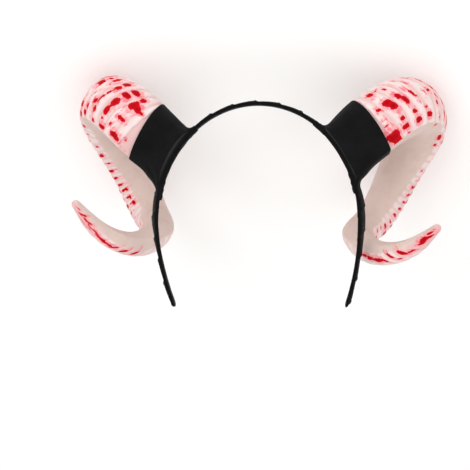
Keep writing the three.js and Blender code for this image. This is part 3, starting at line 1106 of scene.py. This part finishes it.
@dataclass
class Sleeve:
    """The cloth sleeve drawn over the root of one horn and along the hoop on both sides of it.

    Sizes are in millimetres, and flat is in metres. A row of joins is for one join with the hoop: where it
    is, in horn thicknesses down from the seat, how deep its folds are and how many of them a turn holds.
    """

    horn: Horn
    length: float = 28.5
    cloth: float = 1.5
    lift: float = 1.3
    wrap: float = 0.7
    above: float = 9.0
    below: float = 11.0
    blend: float = 4.5
    cell: float = 0.62
    wall: float = 0.55
    collar: float = 1.6
    collar_length: float = 7.0
    base_round: float = 1.6
    band_round: float = 1.4
    overrun: float = 12.0
    rim_reach: float = 60.0
    end_reach: float = 9.0
    margin: float = 14.0
    stations: int = 96
    bearings: int = 180
    smoothing: int = 14
    joins: tuple[tuple[float, float, float], ...] = ((-0.56, 0.30, 9.0), (0.56, 0.55, 11.0))
    fold_zone: Zone = (3.0, 9.0, 16.0, 33.0)
    flat: tuple[float, float] = (0.140, 0.048)

    def cup(self, points: Array) -> tuple[Array, Array]:
        """Measures points against the cloth over the horn's root.

        Args:
            points: the points, as worn.

        Returns:
            How far outside the cloth they lie, and how far along the horn.
        """
        along = np.linspace(-self.margin, self.length + self.margin, self.stations)
        f = self.horn.frames(along)
        around = (np.arange(self.bearings) + 0.5) * 360 / self.bearings
        skin = self.horn.surface(along, around, self.cloth)
        for _ in range(self.smoothing):
            skin = 0.25 * np.roll(skin, 1, axis=1) + 0.5 * skin + 0.25 * np.roll(skin, -1, axis=1)
        off = skin - f["middle"][:, None]
        x = (off * f["side"][:, None]).sum(-1)
        y = (off * f["inner"][:, None]).sum(-1)
        angles = np.linspace(-np.pi, np.pi, self.bearings + 1)
        table = np.empty((len(along), len(angles)))
        for row in range(len(along)):
            order = np.argsort(np.arctan2(y[row], x[row]))
            table[row] = np.interp(
                angles, np.arctan2(y[row], x[row])[order], np.hypot(x[row], y[row])[order], period=2 * np.pi
            )
        own = (points * self.horn.side.mirror - self.horn.seat) @ self.horn.turn
        flat = own.reshape(-1, 3)
        nearest = np.zeros(len(flat), int)
        best = np.full(len(flat), np.inf)
        for row in range(len(along)):
            distance = ((flat - f["middle"][row]) @ f["tangent"][row]) ** 2
            closer = distance < best
            best[closer] = distance[closer]
            nearest[closer] = row
        ahead = ((flat - f["middle"][nearest]) * f["tangent"][nearest]).sum(1)
        number = np.clip(nearest + ahead / (along[1] - along[0]), 0, len(along) - 1.001)
        low = number.astype(int)
        share = (number - low)[:, None]
        names = ("middle", "side", "inner")
        read = {key: f[key][low] * (1 - share) + f[key][low + 1] * share for key in names}
        off = flat - read["middle"]
        x = (off * read["side"]).sum(1)
        y = (off * read["inner"]).sum(1)
        column = (np.arctan2(y, x) + np.pi) / (2 * np.pi) * self.bearings
        left = np.clip(column.astype(int), 0, self.bearings - 1)
        part = column - left
        skin_low = table[low, left] * (1 - part) + table[low, left + 1] * part
        skin_high = table[low + 1, left] * (1 - part) + table[low + 1, left + 1] * part
        radius = skin_low * (1 - share[:, 0]) + skin_high * share[:, 0]
        run = along[0] + (nearest * (along[1] - along[0])) + ahead
        flare = self.collar * np.exp(-((np.maximum(run, 0) / self.collar_length) ** 2))
        shape = points.shape[:-1]
        return (np.hypot(x, y) - radius - flare).reshape(shape), run.reshape(shape)

    def band(self, points: Array) -> tuple[Array, Array]:
        """Measures points against the cloth round the hoop.

        Args:
            points: the points, as worn.

        Returns:
            How far outside it they lie, and the distance along the hoop from the horn's seat, downwards.
        """
        hoop = self.horn.hoop
        own = points * self.horn.side.mirror
        angle = np.linspace(10, 110, 400)
        line, normal = hoop.point(angle)
        run = np.concatenate([[0], np.cumsum(np.linalg.norm(np.diff(line, axis=0), axis=1))])
        run -= np.interp(HORN_SETS[self.horn.side].seat, angle, run)
        where = np.degrees(np.arctan2(own[..., 0] / hoop.middle_half, own[..., 2] / hoop.middle_rise))
        for _ in range(3):
            place, out = hoop.point(where)
            ahead = np.stack([out[..., 2], np.zeros_like(where), -out[..., 0]], -1)
            where = where + np.degrees(((own - place) * ahead).sum(-1) / hoop.mean_radius)
        place, out = hoop.point(where)
        outward, forward = hoop.section(out, place[..., 2])
        off = own - place
        x = np.abs((off * forward).sum(-1)) - (hoop.width / 2 - self.band_round)
        y = np.abs((off * outward).sum(-1)) - (hoop.thickness / 2 - self.band_round)
        outside = np.hypot(np.maximum(x, 0), np.maximum(y, 0)) + np.minimum(np.maximum(x, y), 0)
        return outside - self.band_round - self.wrap, np.interp(where, angle, run)

    def reach(self) -> tuple[float, float]:
        """Returns how far up and down the hoop from the seat the cloth goes."""
        half = self.horn.thickness / 2
        return -(half + self.above), half + self.below

    def distance(self, points: Array) -> Array:
        """Measures points against the whole sleeve.

        Args:
            points: the points, as worn.

        Returns:
            How far outside the cloth they lie.
        """
        cup, along = self.cup(points)
        band, run = self.band(points)
        low, high = self.reach()
        band = np.maximum(band, np.maximum(low - run, run - high))
        inside = -self.horn.hoop.above(points * self.horn.side.mirror, self.lift)
        cup = self.soft_max(cup, inside, self.base_round)
        cup = np.maximum(cup, along - self.length - self.overrun)
        joined = -self.soft_max(-cup, -band, self.blend)
        return joined + self.folds(points)

    @staticmethod
    def soft_max(first: Array, second: Array, radius: float) -> Array:
        """Rounds the edge between two surfaces.

        Args:
            first: distances outside one of them.
            second: distances outside the other.
            radius: how far round their meeting the edge is softened.

        Returns:
            The larger of the two distances, rounded where they meet.
        """
        share = np.clip(0.5 + 0.5 * (first - second) / radius, 0, 1)
        return second * (1 - share) + first * share + radius * share * (1 - share)

    def folds(self, points: Array) -> Array:
        """Works out the folds that run over the cloth from its two joins with the hoop.

        Args:
            points: the points, as worn.

        Returns:
            The depth of the folds there.
        """
        total = np.zeros(points.shape[:-1])
        hoop = self.horn.hoop
        how = HORN_SETS[self.horn.side]
        mirror = self.horn.side.mirror
        for end, strength, count in self.joins:
            angle = how.seat + math.degrees(end * self.horn.thickness / hoop.mean_radius)
            place, out = hoop.point(np.array([angle]), 3.0)
            join = place[0] * mirror
            ahead = np.array([out[0][2], 0.0, -out[0][0]]) * mirror
            away = np.array([out[0][0], 0.0, out[0][2]]) * mirror
            off = points - join
            along = off @ ahead * (-1 if end > 0 else 1)
            over = off @ away
            distance = np.sqrt((off**2).sum(-1)) + 1e-6
            bearing = np.arctan2(over, along) + 0.35 * off[..., 1] / 10.0
            wave = np.cos(count * bearing + 1.2 * np.sin(2.3 * bearing + distance / 9.0))
            total += strength * (0.5 + 0.5 * wave) * window(distance, self.fold_zone)
        return total

    def mesh(self) -> tuple[Array, list[tuple[int, ...]]]:
        """Draws the cloth's outer surface as a net of quads between the cells that it crosses.

        Returns:
            Worn points in millimetres, and the faces.
        """
        hoop = self.horn.hoop
        rings = self.horn.surface(np.linspace(-12, self.length + 9, 9), np.arange(0, 360, 20.0), 5.0)
        sample = self.horn.worn(rings)
        flat = sample.reshape(-1, 3)
        low, high = flat.min(0), flat.max(0)
        ends = np.array(self.reach()) / hoop.mean_radius
        angles = HORN_SETS[self.horn.side].seat + np.degrees(ends)
        tube = hoop.point(angles)[0] * self.horn.side.mirror
        low = np.minimum(low, tube.min(0) - 6)
        high = np.maximum(high, tube.max(0) + 6)
        count = np.ceil((high - low) / self.cell).astype(int) + 1
        axes = [low[i] + self.cell * np.arange(count[i]) for i in range(3)]
        values = self.distance(np.stack(np.meshgrid(*axes, indexing="ij"), -1))
        return net(values, low, self.cell)

    def build(self, material: bpy.types.Material) -> bpy.types.Object:
        """Makes the sleeve as a thin cloth wall, open at its rim and where the hoop passes out of it.

        Args:
            material: the cloth's finish.

        Returns:
            The new piece.
        """
        points, faces = self.mesh()
        shell = bmesh.new()
        verts = [shell.verts.new(p) for p in points]
        for face in faces:
            shell.faces.new([verts[i] for i in face])
        for _ in range(3):
            bmesh.ops.smooth_vert(
                shell, verts=shell.verts, factor=0.5, use_axis_x=True, use_axis_y=True, use_axis_z=True
            )
        self.open_rim(shell)
        self.open_ends(shell)
        bmesh.ops.recalc_face_normals(shell, faces=shell.faces)
        points = np.array([v.co for v in shell.verts])
        shell.verts.index_update()
        faces = [tuple(v.index for v in face.verts) for face in shell.faces]
        shell.free()
        piece = make_piece(f"sleeve_{self.horn.side.value}_cloth", points, faces, {})
        solid = piece.modifiers.new("wall", "SOLIDIFY")
        solid.thickness = self.wall * 0.001
        solid.offset = -1.0
        apply_modifiers(piece)
        piece.data.polygons.foreach_set("use_smooth", [True] * len(piece.data.polygons))
        piece.data.materials.append(material)
        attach(piece, "root")
        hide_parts(f"sleeve_{self.horn.side.value}")
        return piece

    def open_rim(self, shell: bmesh.types.BMesh) -> None:
        """Cuts the cloth off at its rim, which reaches further along the horn in front."""
        how = HORN_SETS[self.horn.side]
        rim = self.horn.frames(np.array([self.length + how.rim_shift]))
        f = {key: rows[0] for key, rows in rim.items()}
        tilt, slant = math.tan(math.radians(how.rim_tilt)), math.tan(math.radians(how.rim_slant))
        away = f["tangent"] - f["side"] * tilt + np.cross(f["side"], f["tangent"]) * slant * self.front(f)
        ends = self.horn.worn(np.stack([f["middle"], f["middle"] + away]))
        cut(shell, ends[0], ends[1] - ends[0], self.rim_reach)

    @staticmethod
    def front(f: dict[str, Array]) -> float:
        """Returns 1 where a section's third direction points backwards and -1 where it points forwards."""
        return 1.0 if np.cross(f["side"], f["tangent"])[1] > 0 else -1.0

    def open_ends(self, shell: bmesh.types.BMesh) -> None:
        """Cuts the cloth off where it ends on the hoop."""
        mirror = self.horn.side.mirror
        hoop = self.horn.hoop
        seat = HORN_SETS[self.horn.side].seat
        fine = np.linspace(10, 110, 800)
        line, _ = hoop.point(fine)
        run = np.concatenate([[0], np.cumsum(np.linalg.norm(np.diff(line, axis=0), axis=1))])
        run -= np.interp(seat, fine, run)
        for distance, way in zip(self.reach(), (-1.0, 1.0)):
            angle = np.array([np.interp(distance - way * 1.2, run, fine)])
            place, out = hoop.point(angle)
            ahead = np.array([out[0][2], 0.0, -out[0][0]]) * way
            cut(shell, place[0] * mirror, ahead * mirror, self.end_reach)


def cut(shell: bmesh.types.BMesh, place: Array, away: Array, reach: float) -> None:
    """Removes what lies beyond a plane.

    Args:
        shell: the mesh that is cut.
        place: a point of the plane.
        away: the direction out of the plane that is removed.
        reach: how far from the point the cut goes.
    """
    centre = Vector(place)
    normal = Vector(away).normalized()
    near = [face for face in shell.faces if (face.calc_center_median() - centre).length < reach]
    corners = list({v for face in near for v in face.verts})
    edges = list({e for face in near for e in face.edges})
    bmesh.ops.bisect_plane(shell, geom=corners + edges + near, plane_co=centre, plane_no=normal)
    beyond = [
        face
        for face in shell.faces
        if (face.calc_center_median() - centre).length < reach
        and (face.calc_center_median() - centre).dot(normal) > 1e-5
    ]
    bmesh.ops.delete(shell, geom=beyond, context="FACES")
    loose = [v for v in shell.verts if not v.link_faces]
    bmesh.ops.delete(shell, geom=loose, context="VERTS")


def apply_modifiers(piece: bpy.types.Object) -> None:
    """Turns a piece's modifiers into mesh."""
    bpy.context.view_layer.update()
    shown = piece.evaluated_get(bpy.context.evaluated_depsgraph_get())
    mesh = bpy.data.meshes.new_from_object(shown)
    piece.modifiers.clear()
    piece.data = mesh


def net(values: Array, low: Array, cell: float) -> tuple[Array, list[tuple[int, ...]]]:
    """Draws the surface where a grid of values passes through 0.

    Args:
        values: the values, negative inside.
        low: the grid's lowest corner.
        cell: the grid's step.

    Returns:
        The points and the four-sided faces.
    """
    inside = values < 0
    shape = tuple(n - 1 for n in values.shape)
    total = np.zeros(shape + (3,))
    hits = np.zeros(shape)
    corners = [(i, j, k) for i in (0, 1) for j in (0, 1) for k in (0, 1)]
    for a in corners:
        for axis in range(3):
            if a[axis] == 1:
                continue
            b = tuple(1 if n == axis else a[n] for n in range(3))
            first = values[tuple(slice(a[n], a[n] + shape[n]) for n in range(3))]
            second = values[tuple(slice(b[n], b[n] + shape[n]) for n in range(3))]
            crossed = (first < 0) != (second < 0)
            share = np.where(crossed, first / np.where(crossed, first - second, 1), 0)
            for n in range(3):
                total[..., n] += np.where(crossed, a[n] + (b[n] - a[n]) * share, 0)
            hits += crossed
    used = hits > 0
    index = np.full(shape, -1)
    index[used] = np.arange(used.sum())
    cells = np.argwhere(used)
    points = (cells + total[used] / hits[used][:, None]) * cell + low
    faces: list[tuple[int, ...]] = []
    for axis in range(3):
        one, two = [n for n in range(3) if n != axis]
        lower = np.take(inside, range(values.shape[axis] - 1), axis)
        upper = np.take(inside, range(1, values.shape[axis]), axis)
        spots = np.argwhere(lower != upper)
        keep = np.ones(len(spots), bool)
        for n in (one, two):
            keep &= (spots[:, n] > 0) & (spots[:, n] < values.shape[n] - 1)
        spots = spots[keep]
        ring = []
        for d1, d2 in ((1, 1), (0, 1), (0, 0), (1, 0)):
            at = spots.copy()
            at[:, one] -= d1
            at[:, two] -= d2
            ring.append(index[tuple(at.T)])
        faces += [tuple(f) for f in np.stack(ring, 1).tolist()]
    return points, faces


@dataclass(frozen=True)
class Lamp:
    """A soft square light: its direction from the headband as worn, its edge in metres and its watts."""

    name: str
    worn: tuple[float, float, float]
    size: float
    power: float


@dataclass
class Studio:
    """The floor, the lights and the camera. The camera looks at the headband as straight as at a worn one."""

    azimuth: float = 5.5
    distance: float = 1300.0
    scale: float = 0.75
    frame_pixels: float = 470.0
    aside: float = -22.8
    upward: float = -14.5
    sensor: float = 36.0
    lamps: tuple[Lamp, ...] = (
        Lamp("front_light", (-0.35, -0.85, 0.30), 1.3, 11.0),
        Lamp("fill_light", (0.75, -0.75, -0.25), 1.5, 5.5),
        Lamp("low_light", (-0.1, -0.75, -0.65), 1.6, 3.6),
    )
    lamp_distance: float = 1.9
    lamp_centre: tuple[float, float, float] = (0.0, 0.0, 0.07)
    sky: Colour = (1.0, 0.995, 0.985, 1.0)
    sky_strength: float = 0.88
    floor_size: float = 9.0

    def camera(self) -> bpy.types.Object:
        """Makes the camera from the worn view and turns it with the headband."""
        a = math.radians(self.azimuth)
        back = Vector((math.sin(a), -math.cos(a), 0.0))
        right = Vector((math.cos(a), math.sin(a), 0.0))
        up = Vector((0.0, 0.0, 1.0))
        target = right * (self.aside * self.scale) + up * (self.upward * self.scale)
        eye = target + back * self.distance
        turn = REST.turn()
        data = bpy.data.cameras.new("camera")
        data.sensor_width = self.sensor
        data.lens = self.distance / self.scale / self.frame_pixels * self.sensor
        data.clip_end = 50.0
        camera = bpy.data.objects.new("camera", data)
        axes = Matrix([turn @ right, turn @ up, turn @ back]).transposed()
        place = Vector(REST.place(np.array([eye]))[0])
        camera.matrix_world = Matrix.Translation(place) @ axes.to_4x4()
        bpy.context.scene.collection.objects.link(camera)
        bpy.context.scene.camera = camera
        return camera

    def light(self, lamp: Lamp) -> None:
        """Adds a light and points it at the headband."""
        data = bpy.data.lights.new(lamp.name, "AREA")
        data.size = lamp.size
        data.energy = lamp.power
        light = bpy.data.objects.new(lamp.name, data)
        way = (REST.turn() @ Vector(lamp.worn)).normalized()
        light.location = Vector(self.lamp_centre) + way * self.lamp_distance
        light.rotation_euler = way.to_track_quat("Z", "Y").to_euler()
        bpy.context.scene.collection.objects.link(light)

    def build(self) -> None:
        """Adds the floor, the lights, the pale surroundings and the camera."""
        bpy.ops.mesh.primitive_plane_add(size=self.floor_size, location=(0, 0, 0))
        floor = bpy.context.object
        floor.name = "floor"
        floor.data.materials.append(StudioPaper().build())
        for lamp in self.lamps:
            self.light(lamp)
        world = bpy.data.worlds.new("surroundings")
        world.use_nodes = True
        shade = world.node_tree.nodes["Background"]
        shade.inputs["Color"].default_value = self.sky
        shade.inputs["Strength"].default_value = self.sky_strength
        bpy.context.scene.world = world
        bpy.context.scene.view_settings.view_transform = "Standard"
        self.camera()


def main() -> None:
    """Builds each piece in turn and reports it."""
    logging.basicConfig(level=logging.INFO, format="%(name)s: %(message)s")
    Studio().build()
    hoop = Hoop()
    foam = PaintedFoam().build()
    ribbon = BlackRibbon().build()
    cloth = StretchCloth().build()
    pieces = [hoop.build(ribbon)]
    for side in Side:
        horn = Horn(side, hoop)
        pieces.append(horn.build(foam))
        pieces.append(Sleeve(horn).build(cloth))
    for piece in pieces:
        LOG.info("%s: %d faces", piece.name, len(piece.data.polygons))


if __name__ == "__main__":
    main()
